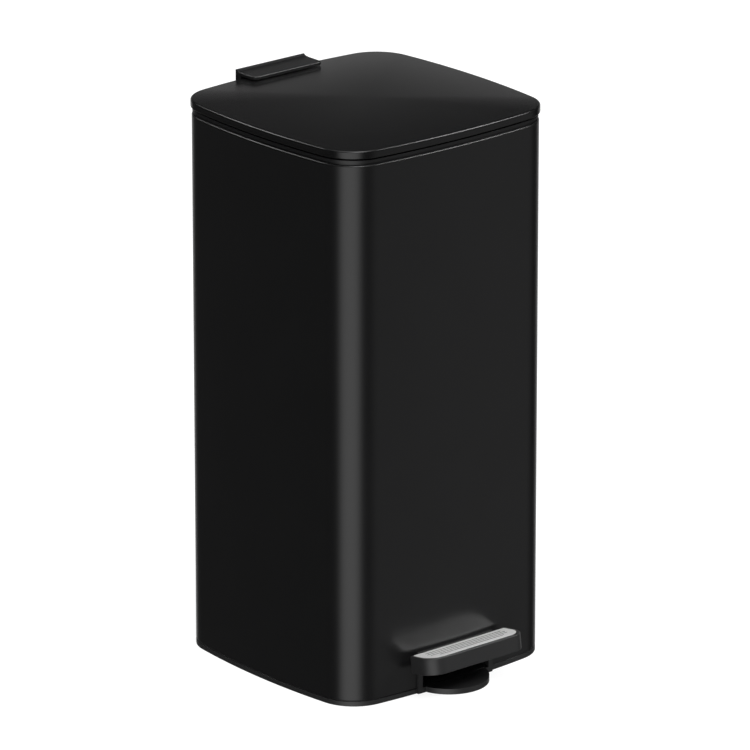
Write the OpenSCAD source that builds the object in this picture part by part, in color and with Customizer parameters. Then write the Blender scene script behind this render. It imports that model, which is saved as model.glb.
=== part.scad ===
// Pedal bin of about 30 litres: steel body and lid, plastic collar and base, lift-out bucket.
// Millimetres. +Z is up, the pedal is at -Y, the hinge at +Y, the origin is on the floor under the body.

/* [Body] */
// Width of the steel body
body_w = 300; // [240:1:360]
// Depth of the steel body
body_d = 296; // [240:1:360]
// Height of the steel body's top hem above the floor
hem_z = 600; // [480:1:720]
// How far the front and back bulge out at their middle
front_bulge = 11.3; // [6:0.1:14]
// How far the left and right sides bulge out at their middle
side_bulge = 13; // [6:0.1:16]
// Radius of the body's upright corners
corner_r = 45; // [36:1:56]
// Thickness of the steel sheet
sheet = 0.6; // [0.5:0.1:1.2]
// Width of the hem turned in at the top
hem_w = 4; // [2.5:0.1:4.5]
// Width of the flange turned in at the bottom
flange_w = 8.5; // [7.5:0.1:9.5]

/* [Base] */
// Height of the plastic ring seen under the steel body
ring_h = 5.2; // [4.2:0.1:7]
// Thickness of the base's floor
floor_t = 2.6; // [2.4:0.1:3.4]
// Height of the groove between ring and body
groove_h = 1; // [0.6:0.1:1.6]
// Height of the wall that stands inside the body
upstand_h = 22; // [14:1:30]
// Diameter of the anti-slip pads
pad_d = 30; // [20:1:36]

/* [Collar and lid] */
// Height of the recess between the body and the collar's rim
collar_gap = 2.6; // [1.6:0.1:3.4]
// Thickness of the collar's rim
collar_rim = 2.8; // [2:0.1:3.2]
// Width of the collar around the bucket's mouth
collar_w = 8.5; // [7.5:0.1:11]
// Gap between the collar's rim and the closed lid
lid_gap = 1.8; // [1.5:0.1:2.4]
// Height of the lid's upright edge
lid_edge = 8.8; // [8.2:0.1:11]
// Rise of the lid from its edge to its middle
lid_crown = 4; // [2:0.1:9]
// How far the lid stands out past the body
lid_over = 1.3; // [0.8:0.1:1.5]
// Width of the cover over the hinge
cover_w = 94.6; // [92:0.2:120]
// How far the lid opens, in degrees
lid_open = 80; // [60:1:85]

/* [Pedal] */
// Width of the pedal
pedal_w = 137; // [110:1:160]
// Depth of the pedal from the body outwards
pedal_d = 37; // [32:1:48]
// Thickness of the pedal
pedal_t = 18.5; // [16:0.5:22]
// Height of the pedal's back edge when it is up
pedal_z = 47.7; // [46:0.1:50]
// Distance of the lever's pivot behind the body's front
pivot_back = 98; // [70:1:120]
// Height of the lever's pivot
pivot_z = 26; // [25:0.5:28]
// Radius of the tongue on the floor
tongue_r = 43.5; // [36:0.5:45]

/* [Bucket] */
// Wall of the plastic bucket
bucket_wall = 2; // [1.5:0.1:2.6]
// Height of the bucket's underside above the floor
bucket_z = 52; // [50:1:70]
// How much narrower the bucket is at its foot, on each side
bucket_draft = 8; // [4:0.5:16]
// Thickness of the bail
bail_d = 4; // [3:0.1:4.4]

/* [Mechanism] */
// Diameter of the push rod
rod_d = 4; // [3.5:0.1:4.2]
// Distance of the push rod in front of the hinge's axis
rod_arm = 18; // [17.6:0.1:18.4]
// Diameter of the hinge's pin
hinge_pin_d = 3.4; // [3:0.1:3.6]
// Diameter of the pedal lever's pin
pivot_pin_d = 6; // [5:0.1:6.4]
// Diameter of the damper's body
damper_d = 15; // [14:0.5:16]

/* [Hidden] */
$fn = 48;
paint_black = "#1d1d1f";
plastic_black = "#232325";
plastic_grey = "#3a3b3e";
bucket_grey = "#55575a";
steel_bright = "#b9bbbd";
steel_brushed = "#c9cacb";
zinc = "#8f9396";
rubber = "#2b2b2b";
side_steps = 6;
corner_steps = 10;
run_gap = 0.08;
fit_gap = 0.05;
play = 0.3;
eps = 0.01;

half_w = body_w / 2;
half_d = body_d / 2;
shell_z = ring_h + groove_h;
rim_z0 = hem_z + collar_gap;
rim_z1 = rim_z0 + collar_rim;
lid_z0 = rim_z1 + lid_gap;
lid_z1 = lid_z0 + lid_edge;
rim_inset = 0.6;
neck_inset = 2.4;
skirt_inset = hem_w + play;

// Hinge: its axis lies behind the body, just above the collar's rim
hinge_y = half_d + 5.2;
hinge_z = rim_z1 + 1.1;
knuckle_r = 3;
hinge_pin_r = hinge_pin_d / 2;
lug_x0 = 31;
lug_x1 = 38;
arm_x0 = 20;
arm_x1 = 29.5;
notch_x = 30.3;
pin_end = lug_x1 + 3;

// Rod and lid arm: a pin on the rod runs in a radial slot of the arm
rod_r = rod_d / 2;
rod_y = hinge_y - rod_arm;
rod_rise = 1.6 * rod_arm;
hook_z = hinge_z - rod_rise / 2;
slot_half = rod_r + 0.9;
eye_r = slot_half + 2.5;
slot_near = rod_arm - 0.1;
slot_far = rod_arm / cos(lid_open / 2) - 0.2;
arm_reach = slot_far + eye_r;
blade_x0 = 8;
blade_x1 = 11;
hook_end = 15;

// Mouth of the collar, which the bucket hangs in
mouth_wall = 2;
mouth_back = hinge_y - arm_reach - 0.7 - mouth_wall;
mouth_front = -half_d + collar_w;
mouth_a = half_w - collar_w;
mouth_b = (mouth_back - mouth_front) / 2;
mouth_y = (mouth_back + mouth_front) / 2;
mouth_bulge_f = front_bulge * pow(mouth_a / half_w, 2);
mouth_bulge_s = side_bulge * pow(mouth_b / half_d, 2);
mouth_r = corner_r - collar_w;
ledge_w = 4;
ledge_t = 2;
ledge_z = hem_z - 14;
skirt_z = ledge_z - 2;

// Bucket and bail
rim_gap = 0.9;
bucket_rim_z = ledge_z + ledge_t + 0.2;
bucket_rim_t = 2.2;
bucket_in = ledge_w + 1;
bail_pin_r = bail_d / 2 - 0.3;
bail_w = 5;
bail_end = 5;
grip_r = 5;
bail_x = mouth_a - bucket_in - bucket_wall - 7.5;
bail_z = bucket_rim_z - 6.2;
bail_bend = mouth_r - 2.5;
bail_gap = 0.36;
bail_sag = mouth_bulge_f * pow((bail_x - bail_bend) / mouth_a, 2);
bail_bar = mouth_b - bail_sag - bail_w / 2 - bail_gap;
bail_tilt = 6.4;
bail_hook = mouth_a - bucket_in + 0.7;
grip_l = 90;

// Lever: straight channel, level at half travel, tipped up at the front when the pedal is up
pivot_y = -half_d + pivot_back;
rear_arm = rod_y - pivot_y;
half_swing = atan(rod_rise / 2 / rear_arm);
pedal_swing = 2 * half_swing;
lever_x = 13;
lever_t = 2;
lever_top = 6;
lever_bottom = -7;
lever_slot = rod_r + 0.5;
lever_end = rear_arm + 6;
lever_tail = rod_rise / 2 - pivot_z + 4.6;
plate_top = lever_top + pedal_z - pivot_z - 21.7;
web_end = rear_arm - 14;
plate_w = 84;
plate_t = 2.5;
pedal_y = -half_d - 3.6;
bush_r = 4.5;
bush_flange_r = 6.4;
bush_flange = 1;
ear_gap = 0.2;
ear_t = 2.5;
ear_x0 = lever_x + bush_flange + ear_gap;
ear_x1 = ear_x0 + ear_t;
bracket_z = 6;
bracket_t = 2.5;
bracket_l = 52;
bracket_w = 64;
bracket_screw_x = 25;
bracket_screw_y = 19;

// Pedal opening and its bezel
opening_x = 49;
opening_z = pivot_z + 19.3;
bezel_x = 52.5;
bezel_leg = 6;
bezel_z = opening_z + 1.7;
bezel_out = 2.6;
bezel_sleeve = 7;
tongue_h = 6.2;
tongue_y = -half_d + 10;

// Pedal cover, in its own tipped frame with the back top edge at its origin
rim_side = 4.2;
rim_back = 2;
pedal_front_r = 21;
pedal_back_r = 4;
insert_t = 1.2;
insert_sink = 1;
cover_wall = 2.5;
cover_top = 4;
plate_w0 = -10.2;
boss_x = 28;
boss_y = -20;
boss_r = 4.5;

// Damper and rod guides
damper_x = -22;
damper_z0 = hem_z / 2;
damper_l = 90;
damper_r = damper_d / 2;
piston_r = damper_r - 2.1;
plunger_r = 2.5;
cap_t = 4;
carrier_z = damper_z0 + damper_l + 6;
carrier_t = 10;
guide_z = [80, hem_z - 80];
guide_h = 12;
back_in = half_d - sheet;
rodcover_x = 44;
rodcover_t = 1.6;
rodcover_y = mouth_back + 1.2;

// Hinge cover
cover_x = cover_w / 2;
cover_back = half_d + 10.4;
cover_front = half_d - 21.8;
cover_wall_t = 1.8;
cover_z1 = lid_z1 + 6;
cover_ridge = 1.6;
cover_z0 = lid_z1 + 1.7;
cover_low = hinge_z - 3;
cover_corner = 5;
cover_screw_x = 24;
cover_screw_y = half_d - 14;
arm_flange_z = lid_z1 - 4;
arm_t = 2.4;
liner_t = 1.6;
liner_inset = 0.9;

function side_radius(half, bulge) = (half * half + bulge * bulge) / (2 * bulge);

function arc(c, r, a0, a1, n) =
    [for (i = [0:n]) c + r * [cos(a0 + (a1 - a0) * i / n), sin(a0 + (a1 - a0) * i / n)]];

// Centre of the corner arc that is tangent inside both the front arc and the right arc
function corner_centre(c1, r1, c2, r2) =
    let (
        d = norm(c2 - c1),
        t = (r1 * r1 - r2 * r2 + d * d) / (2 * d),
        h = sqrt(r1 * r1 - t * t),
        u = (c2 - c1) / d,
        q1 = c1 + t * u + h * [-u[1], u[0]],
        q2 = c1 + t * u - h * [-u[1], u[0]]
    )
    (q1[0] > 0 && q1[1] < 0) ? q1 : q2;

// Quarter of the rounded-square outline, from the front's middle to the right side's middle
function quarter(a, b, s1, s2, r, inset) =
    let (
        r1 = side_radius(a, s1),
        r2 = side_radius(b, s2),
        c1 = [0, r1 - b],
        c2 = [a - r2, 0],
        c = corner_centre(c1, r1 - r, c2, r2 - r),
        t1 = atan2(c[1] - c1[1], c[0] - c1[0]),
        t2 = atan2(c[1] - c2[1], c[0] - c2[0]),
        front = arc(c1, r1 - inset, -90, t1, side_steps),
        corner = arc(c, r - inset, t1, t2, corner_steps),
        side = arc(c2, r2 - inset, t2, 0, side_steps)
    )
    concat(front, [for (i = [1:corner_steps]) corner[i]], [for (i = [1:side_steps]) side[i]]);

function outline(a, b, s1, s2, r, inset) =
    let (q = quarter(a, b, s1, s2, r, inset), n = len(q) - 1)
    concat(
        q,
        [for (i = [n - 1:-1:0]) [q[i][0], -q[i][1]]],
        [for (i = [1:n]) [-q[i][0], -q[i][1]]],
        [for (i = [n - 1:-1:1]) [-q[i][0], q[i][1]]]
    );

// How far out the body's side and front lie at a given distance from their middle
function side_x(y) = half_w - y * y / (2 * side_radius(half_d, side_bulge));

function side_y(x) = half_d - x * x / (2 * side_radius(half_w, front_bulge));

module body_plan(inset) {
    polygon(outline(half_w, half_d, front_bulge, side_bulge, corner_r, inset));
}

module body_block(inset, z0, z1) {
    translate([0, 0, z0])
        linear_extrude(z1 - z0) body_plan(inset);
}

module body_ring(out, in, z0, z1) {
    translate([0, 0, z0])
        linear_extrude(z1 - z0) difference() {
            body_plan(out);
            body_plan(in);
        }
}

module mouth_plan(inset) {
    translate([0, mouth_y])
        polygon(outline(mouth_a, mouth_b, mouth_bulge_f, mouth_bulge_s, mouth_r, inset));
}

module mouth_block(inset, z0, z1) {
    translate([0, 0, z0])
        linear_extrude(z1 - z0) mouth_plan(inset);
}

module mouth_ring(out, in, z0, z1) {
    translate([0, 0, z0])
        linear_extrude(z1 - z0) difference() {
            mouth_plan(out);
            mouth_plan(in);
        }
}

// Block between two corners
module block(p0, p1) {
    translate(p0)
        cube(p1 - p0);
}

// Cylinder along X
module x_rod(x0, x1, y, z, r) {
    translate([x0, y, z])
        rotate([0, 90, 0]) cylinder(h = x1 - x0, r = r);
}

module z_rod(x, y, z0, z1, r) {
    translate([x, y, z0])
        cylinder(h = z1 - z0, r = r);
}

module both_sides() {
    children();
    mirror([1, 0, 0]) children();
}

// Profile in the Y-Z plane, drawn out along X
module x_profile(x0, x1, points) {
    translate([x0, 0, 0])
        rotate([90, 0, 90]) linear_extrude(x1 - x0) polygon(points);
}

module at_four(x, y) {
    for (sx = [-1, 1])
        for (sy = [-1, 1])
            translate([sx * x, sy * y, 0]) children();
}

// Room for the lever's back end and the rod's lower hook
module rear_notch(z0) {
    block([-22, rod_y - 4, z0], [22, pivot_y + lever_end + 1.2, upstand_h + 1]);
}

base_screw_y = 50;
base_screw_x = side_x(base_screw_y) - 5.2;
base_screw_r = 1.7;
pad_x = half_w - 46;
pad_y = half_d - 46;
pad_t = 1.8;

module outer_shell() {
    color(paint_black) difference() {
        union() {
            body_ring(0, sheet, shell_z, hem_z);
            body_ring(sheet / 2, hem_w, hem_z - sheet, hem_z);
            body_ring(sheet / 2, flange_w, shell_z, shell_z + sheet);
        }
        block([-opening_x, -half_d - 1, shell_z - 1], [opening_x, -half_d + 20, opening_z]);
        rear_notch(shell_z - 1);
        at_four(base_screw_x, base_screw_y)
            z_rod(0, 0, shell_z - 1, shell_z + 2, base_screw_r + fit_gap);
    }
}

module rim_collar() {
    color(plastic_black) difference() {
        union() {
            difference() {
                union() {
                    body_block(rim_inset, rim_z0, rim_z1);
                    body_block(neck_inset, hem_z, rim_z0);
                    body_block(skirt_inset, skirt_z, hem_z);
                }
                mouth_block(0, skirt_z - 1, rim_z1 + 1);
                // Space under the back deck
                intersection() {
                    body_block(skirt_inset + 2, skirt_z - 1, rim_z0 - 0.2);
                    difference() {
                        block([-half_w, mouth_back - 30, skirt_z - 1], [half_w, half_d, rim_z0]);
                        mouth_block(-mouth_wall, skirt_z - 2, rim_z0 + 1);
                    }
                }
                // Way through for the lid's arm and the push rod
                difference() {
                    block([-notch_x, mouth_back, skirt_z - 1], [notch_x, half_d + 1, rim_z1 + 1]);
                    mouth_block(-mouth_wall, skirt_z - 2, rim_z1 + 2);
                }
            }
            mouth_ring(-mouth_wall / 2, ledge_w, ledge_z, ledge_z + ledge_t);
            // Hinge lugs
            both_sides() {
                block([lug_x0, half_d - 8, hinge_z - 2.9], [lug_x1, hinge_y, hinge_z - 0.4]);
                x_rod(lug_x0, lug_x1, hinge_y, hinge_z, knuckle_r);
            }
        }
        both_sides()
            x_rod(lug_x0 - 1, lug_x1 + 1, hinge_y, hinge_z, hinge_pin_r + fit_gap);
    }
}

module base_tray() {
    ring_in = flange_w + 2.5;
    color(plastic_black) difference() {
        union() {
            body_block(0, 0, floor_t);
            body_ring(0, ring_in, floor_t - eps, ring_h);
            body_ring(1.2, ring_in, ring_h - eps, shell_z);
            body_ring(flange_w + 0.5, ring_in, shell_z - eps, upstand_h);
            // Raised seat of the lever's bracket
            block([-bracket_w / 2, pivot_y - bracket_l / 2, floor_t - eps],
                [bracket_w / 2, pivot_y + bracket_l / 2, bracket_z]);
            at_four(pad_x, pad_y)
                z_rod(0, 0, floor_t - eps, floor_t + pad_t, pad_d / 2 + 3);
            // Stiffening ribs
            both_sides()
                for (x = [40, 80])
                    block([x, -half_d + 60, floor_t - eps], [x + 2, half_d - 60, floor_t + 6]);
        }
        at_four(pad_x, pad_y)
            z_rod(0, 0, -1, pad_t, pad_d / 2 + fit_gap);
        at_four(base_screw_x, base_screw_y) {
            z_rod(0, 0, -1, 2.6, 4);
            z_rod(0, 0, 0, shell_z + 1, base_screw_r + 0.2);
        }
        translate([0, pivot_y, 0])
            at_four(bracket_screw_x, bracket_screw_y)
                z_rod(0, 0, 1, bracket_z + 1, 1.5 + fit_gap);
        // Way in for the lever
        block([-opening_x - 3, -half_d + 2, shell_z], [opening_x + 3, -half_d + 20, upstand_h + 1]);
        rear_notch(floor_t + 0.5);
    }
}

module pedal_bezel() {
    sleeve_x = opening_x - 0.3;
    color(plastic_black) {
        difference() {
            union() {
                intersection() {
                    body_block(-bezel_out, 0, bezel_z);
                    block([-bezel_x, -half_d - 10, 0], [bezel_x, 0, bezel_z]);
                }
                translate([0, tongue_y, 0]) cylinder(h = tongue_h, r = tongue_r);
            }
            body_block(-fit_gap, -1, bezel_z + 1);
            block([-bezel_x + bezel_leg, -half_d - 10, tongue_h + eps],
                [bezel_x - bezel_leg, 0, bezel_z - 4]);
        }
        // Sleeve through the body's cut-out, with snap hooks behind the sheet
        difference() {
            block([-sleeve_x, -half_d - 0.6, shell_z + 0.3],
                [sleeve_x, -half_d + bezel_sleeve, opening_z - 0.3]);
            block([-sleeve_x + 2, -half_d - 1, shell_z - 1],
                [sleeve_x - 2, -half_d + bezel_sleeve + 1, opening_z - 2.3]);
        }
        both_sides()
            block([sleeve_x - eps, -half_d + 3.2, 14], [sleeve_x + 2, -half_d + 5.6, 32]);
    }
}

module anti_slip_pads() {
    color(rubber) at_four(pad_x, pad_y)
        z_rod(0, 0, 0, pad_t - 0.02, pad_d / 2);
}

// Pan-head screw with its head's underside at the origin and its shank along +Z
module screw(r, head_r, head_h, length) {
    cylinder(h = length, r = r);
    translate([0, 0, -head_h])
        cylinder(h = head_h, r = head_r);
}

module base_screws() {
    color(zinc) at_four(base_screw_x, base_screw_y)
        translate([0, 0, 2.58]) screw(base_screw_r, 3.7, 2.2, shell_z + 1.6);
}

module pivot_bracket() {
    ear_w = 20;
    color(zinc) difference() {
        union() {
            block([-bracket_w / 2, pivot_y - bracket_l / 2, bracket_z],
                [bracket_w / 2, pivot_y + bracket_l / 2, bracket_z + bracket_t]);
            both_sides() {
                block([ear_x0, pivot_y - ear_w / 2, bracket_z], [ear_x1, pivot_y + ear_w / 2, pivot_z]);
                x_rod(ear_x0, ear_x1, pivot_y, pivot_z, ear_w / 2);
            }
        }
        x_rod(-ear_x1 - 1, ear_x1 + 1, pivot_y, pivot_z, pivot_pin_d / 2 + fit_gap);
        translate([0, pivot_y, 0])
            at_four(bracket_screw_x, bracket_screw_y)
                z_rod(0, 0, bracket_z - 1, bracket_z + bracket_t + 1, 1.8);
    }
}

module bracket_screws() {
    color(zinc) translate([0, pivot_y, bracket_z + bracket_t])
        at_four(bracket_screw_x, bracket_screw_y)
            mirror([0, 0, 1]) screw(1.5, 3.2, 2, 7);
}

module pivot_pin() {
    color(steel_bright) {
        x_rod(-ear_x1 - 1, ear_x1 + 1, pivot_y, pivot_z, pivot_pin_d / 2);
        both_sides()
            x_rod(ear_x1 + 0.3, ear_x1 + 1.6, pivot_y, pivot_z, pivot_pin_d / 2 + 1.5);
    }
}

module rod_guides() {
    color(plastic_grey) for (z = guide_z)
        difference() {
            block([-9, rod_y - 3.6, z], [9, back_in - 0.3, z + guide_h]);
            z_rod(0, rod_y, z - 1, z + guide_h + 1, rod_r + run_gap);
        }
}

module rod_cover() {
    z0 = bucket_z + 4;
    z1 = skirt_z - 1;
    back = side_y(rodcover_x + 6) - sheet - 0.35;
    inner_x = rodcover_x - rodcover_t;
    color(plastic_grey) difference() {
        union() {
            block([-rodcover_x, rodcover_y, z0], [rodcover_x, back, z1]);
            block([-rodcover_x - 6, back - rodcover_t, z0], [rodcover_x + 6, back, z1]);
        }
        block([-inner_x, rodcover_y + rodcover_t, z0 - 1], [inner_x, back + 1, z1 + 1]);
    }
}

module damper_cylinder() {
    color(steel_bright) difference() {
        z_rod(damper_x, rod_y, damper_z0, damper_z0 + damper_l - cap_t, damper_r);
        z_rod(damper_x, rod_y, damper_z0 + 5, damper_z0 + damper_l, piston_r + 0.1);
    }
}

module damper_cap() {
    color(plastic_grey) difference() {
        z_rod(damper_x, rod_y, damper_z0 + damper_l - cap_t, damper_z0 + damper_l, damper_r);
        z_rod(damper_x, rod_y, damper_z0, damper_z0 + damper_l + 1, plunger_r + run_gap);
    }
}

module damper_bracket() {
    z0 = damper_z0 + 35;
    z1 = z0 + 16;
    color(zinc) difference() {
        union() {
            z_rod(damper_x, rod_y, z0, z1, damper_r + 1.5);
            block([damper_x - 6, rod_y, z0], [damper_x + 6, back_in - 0.6, z1]);
        }
        z_rod(damper_x, rod_y, z0 - 1, z1 + 1, damper_r + fit_gap);
    }
}

module hinge_pin() {
    color(steel_bright) x_rod(-pin_end, pin_end, hinge_y, hinge_z, hinge_pin_r);
}

module hinge_clips() {
    color(zinc) both_sides() difference() {
        x_rod(lug_x1 + 0.3, lug_x1 + 1.1, hinge_y, hinge_z, knuckle_r - 0.2);
        x_rod(lug_x1, lug_x1 + 2, hinge_y, hinge_z, hinge_pin_r + fit_gap);
    }
}

// Slightly crowned lid shape: scaled copies of the outline rise to the crown
module lid_solid(inset, z0, z1) {
    hull() {
        body_block(inset, z0, z1 - 1);
        body_block(inset + 1, z1 - 1, z1);
        for (k = [0.85, 0.6, 0.3])
            translate([0, 0, z1 - eps])
                linear_extrude(lid_crown * (1 - k * k)) scale([k, k]) body_plan(inset);
    }
}

module lid_skin() {
    color(paint_black) difference() {
        union() {
            difference() {
                lid_solid(-lid_over, lid_z0, lid_z1);
                lid_solid(-lid_over + sheet, lid_z0 - 1, lid_z1 - sheet);
            }
            body_ring(-lid_over + sheet / 2, -lid_over + 2, lid_z0, lid_z0 + sheet);
        }
        for (sx = [-1, 1])
            z_rod(sx * cover_screw_x, cover_screw_y, lid_z1 - 2, lid_z1 + 4, 2);
    }
}

module lid_liner() {
    web_z = arm_flange_z;
    color(plastic_grey) difference() {
        union() {
            body_block(liner_inset, web_z, web_z + liner_t);
            body_ring(liner_inset, liner_inset + 1.6, lid_z0 + 0.2, web_z + eps);
        }
        for (sx = [-1, 1])
            z_rod(sx * cover_screw_x, cover_screw_y, web_z - 1, web_z + liner_t + 1, 1.9);
    }
}

bumper_y = 40;
bumper_x = side_x(bumper_y) - 5.6;

module lid_bumpers() {
    color(rubber) at_four(bumper_x, bumper_y)
        z_rod(0, 0, rim_z1 + 0.1, arm_flange_z, 2.6);
}

// Direction of the arm's slot from the hinge's axis, with the lid closed
slot_dir = [-cos(lid_open / 2), -sin(lid_open / 2)];

module along_slot(x0, x1, r) {
    near = [hinge_y, hinge_z] + slot_near * slot_dir;
    far = [hinge_y, hinge_z] + slot_far * slot_dir;
    x_rod(x0, x1, near[0], near[1], r);
    x_rod(x0, x1, far[0], far[1], r);
    translate([x0, near[0], near[1]])
        rotate([lid_open / 2 - 180, 0, 0])
            translate([0, 0, -r]) cube([x1 - x0, slot_far - slot_near, 2 * r]);
}

module hinge_arm() {
    plate_z = hinge_z - 2.9;
    riser_y = half_d - 6.5;
    front_y = half_d - 27;
    color(zinc) difference() {
        union() {
            both_sides() {
                block([arm_x0, riser_y, plate_z], [arm_x1, hinge_y, plate_z + arm_t]);
                x_rod(arm_x0, arm_x1, hinge_y, hinge_z, knuckle_r);
            }
            block([-arm_x1, riser_y, plate_z], [arm_x1, riser_y + arm_t, arm_flange_z]);
            block([-arm_x1, front_y, arm_flange_z - arm_t], [arm_x1, riser_y + arm_t, arm_flange_z]);
            // Blade with the slot for the rod's hook
            along_slot(blade_x0, blade_x1, eye_r);
            x_profile(blade_x0, blade_x1, [[riser_y + 1, arm_flange_z], [riser_y + 1, hook_z + 6],
                [rod_y, hook_z], [rod_y - 6.5, hook_z + 5], [rod_y - 7, arm_flange_z]]);
        }
        both_sides()
            x_rod(arm_x0 - 1, arm_x1 + 1, hinge_y, hinge_z, hinge_pin_r + run_gap);
        along_slot(blade_x0 - 1, blade_x1 + 1, slot_half);
        for (sx = [-1, 1])
            z_rod(sx * cover_screw_x, cover_screw_y, arm_flange_z - 4, arm_flange_z + 1, 1.9);
    }
}

// Plan of the hinge cover: straight back, rounded front corners
module cover_plan(inset) {
    x = cover_x - inset;
    y0 = cover_front + inset;
    r = cover_corner - inset;
    polygon(concat(
        [[x, cover_back - inset], [-x, cover_back - inset]],
        arc([-x + r, y0 + r], r, 180, 270, 8),
        arc([x - r, y0 + r], r, 270, 360, 8)
    ));
}

module hinge_cover() {
    fillet = 6;
    color(plastic_black) difference() {
        union() {
            translate([0, 0, cover_z0])
                linear_extrude(cover_z1 - cover_z0) cover_plan(0);
            // Ridge along the back, swept up out of the top
            difference() {
                block([-cover_x, cover_back - fillet, cover_z1 - eps],
                    [cover_x, cover_back, cover_z1 + cover_ridge]);
                x_rod(-cover_x - 1, cover_x + 1, cover_back - fillet - 0.8,
                    cover_z1 + fillet, fillet);
            }
            block([-cover_x, half_d + 2.2, cover_low], [cover_x, cover_back, cover_z0 + eps]);
        }
        // Space for the knuckles
        block([-cover_x + cover_wall_t, half_d + 1.9, cover_low - 1],
            [cover_x - cover_wall_t, cover_back - cover_wall_t, cover_z1 - 2]);
        for (sx = [-1, 1])
            z_rod(sx * cover_screw_x, cover_screw_y, cover_z0 - 1, cover_z1 - 1.4, 1.5 + fit_gap);
    }
}

module hinge_screws() {
    z0 = arm_flange_z - arm_t;
    color(zinc) for (sx = [-1, 1])
        translate([sx * cover_screw_x, cover_screw_y, z0])
            screw(1.5, 3.2, 2, cover_z1 - 1.6 - z0);
}

// Frame of the lever: pivot at its origin, level along Y
module lever_frame() {
    translate([0, pivot_y, pivot_z])
        rotate([-half_swing, 0, 0]) children();
}

// Frame of the pedal: back top edge at its origin, tipped by the whole swing
module pedal_frame() {
    translate([0, pedal_y, pedal_z])
        rotate([-pedal_swing, 0, 0]) children();
}

module pedal_lever() {
    front = pedal_y - pivot_y + 2;
    color(zinc) difference() {
        union() {
            lever_frame() {
                both_sides()
                    x_profile(lever_x - lever_t, lever_x, [[front + 10, lever_top],
                        [front + 10, lever_bottom], [20, lever_bottom],
                        [lever_end, lever_tail], [lever_end, lever_top]]);
                block([-lever_x, front + 4, lever_top - lever_t], [lever_x, web_end, lever_top]);
                block([-plate_w / 2, front - 1.5, plate_top - plate_t],
                    [plate_w / 2, front + 14, plate_top]);
            }
            pedal_frame()
                block([-plate_w / 2, -pedal_d + 6, plate_w0], [plate_w / 2, 1.6, plate_w0 + plate_t]);
        }
        lever_frame() {
            x_rod(-lever_x - 1, lever_x + 1, 0, 0, bush_r + fit_gap);
            for (s = [-0.3, 0.9])
                x_rod(-lever_x - 1, lever_x + 1, rear_arm + s, 0, lever_slot);
            block([-lever_x - 1, rear_arm - 0.3, -lever_slot], [lever_x + 1, rear_arm + 0.9, lever_slot]);
        }
        pedal_frame()
            both_sides() z_rod(boss_x, boss_y, plate_w0 - 1, plate_w0 + plate_t + 1, 1.8);
    }
}

module lever_bushes() {
    color(plastic_grey) lever_frame() both_sides() difference() {
        union() {
            x_rod(lever_x - lever_t - 1, lever_x, 0, 0, bush_r);
            x_rod(lever_x, lever_x + bush_flange, 0, 0, bush_flange_r);
        }
        x_rod(0, lever_x + 3, 0, 0, pivot_pin_d / 2 + run_gap);
    }
}

// D-shaped plan of the pedal: straight back with small corners, large front corners
module pedal_plan(side, back, front) {
    x = pedal_w / 2 - side;
    y0 = -pedal_d + front;
    y1 = -back;
    fr = pedal_front_r - front;
    br = max(pedal_back_r - side / 2, 0.8);
    polygon(concat(
        arc([-x + fr, y0 + fr], fr, 180, 270, 10),
        arc([x - fr, y0 + fr], fr, 270, 360, 10),
        arc([x - br, y1 - br], br, 0, 90, 4),
        arc([-x + br, y1 - br], br, 90, 180, 4)
    ));
}

module pedal_cover() {
    slot_x = plate_w / 2 + 0.6;
    color(plastic_black) pedal_frame() difference() {
        union() {
            difference() {
                translate([0, 0, -pedal_t])
                    linear_extrude(pedal_t) pedal_plan(0, 0, 0);
                translate([0, 0, -pedal_t - 1])
                    linear_extrude(pedal_t - cover_top + 1) pedal_plan(cover_wall, cover_wall, cover_wall);
            }
            both_sides()
                z_rod(boss_x, boss_y, plate_w0 + plate_t + 0.02, -cover_top + eps, boss_r);
        }
        translate([0, 0, -insert_sink])
            linear_extrude(insert_sink + 1) pedal_plan(rim_side - 0.1, rim_back - 0.1, rim_side - 0.1);
        both_sides()
            z_rod(boss_x, boss_y, plate_w0, -cover_top + 1, 1.4 + fit_gap);
        block([-slot_x, -cover_wall - 1, plate_w0 - 0.6], [slot_x, 1, plate_w0 + plate_t + 2.2]);
    }
}

module pedal_insert() {
    groove_y = [-9.5, -14.5, -19.5, -24.5];
    groove_x = [52, 54, 53, 44];
    groove_r = 0.9;
    color(steel_brushed) pedal_frame() difference() {
        translate([0, 0, -insert_sink + 0.02])
            linear_extrude(insert_t) pedal_plan(rim_side, rim_back, rim_side);
        for (i = [0:3])
            translate([0, groove_y[i], insert_t - insert_sink - 0.35]) {
                block([-groove_x[i], -groove_r, 0], [groove_x[i], groove_r, 1]);
                both_sides() z_rod(groove_x[i], 0, 0, 1, groove_r);
            }
    }
}

module pedal_screws() {
    color(zinc) pedal_frame() both_sides()
        translate([boss_x, boss_y, plate_w0]) screw(1.4, 3.2, 2, -cover_top + 0.9 - plate_w0);
}

module push_rod() {
    z0 = pivot_z - rod_rise / 2;
    color(steel_bright) {
        z_rod(0, rod_y, z0, hook_z, rod_r);
        for (z = [z0, hook_z]) {
            translate([0, rod_y, z]) sphere(r = rod_r);
            x_rod(0, hook_end + (z == z0 ? 2 : 0), rod_y, z, rod_r);
        }
    }
}

module rod_clips() {
    z0 = pivot_z - rod_rise / 2;
    color(zinc) {
        difference() {
            x_rod(lever_x + 0.6, lever_x + 1.4, rod_y, z0, rod_r + 2.2);
            x_rod(lever_x, lever_x + 3, rod_y, z0, rod_r + fit_gap);
        }
        difference() {
            x_rod(blade_x1 + 0.6, blade_x1 + 1.4, rod_y, hook_z, rod_r + 2.2);
            x_rod(blade_x1, blade_x1 + 3, rod_y, hook_z, rod_r + fit_gap);
        }
    }
}

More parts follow.
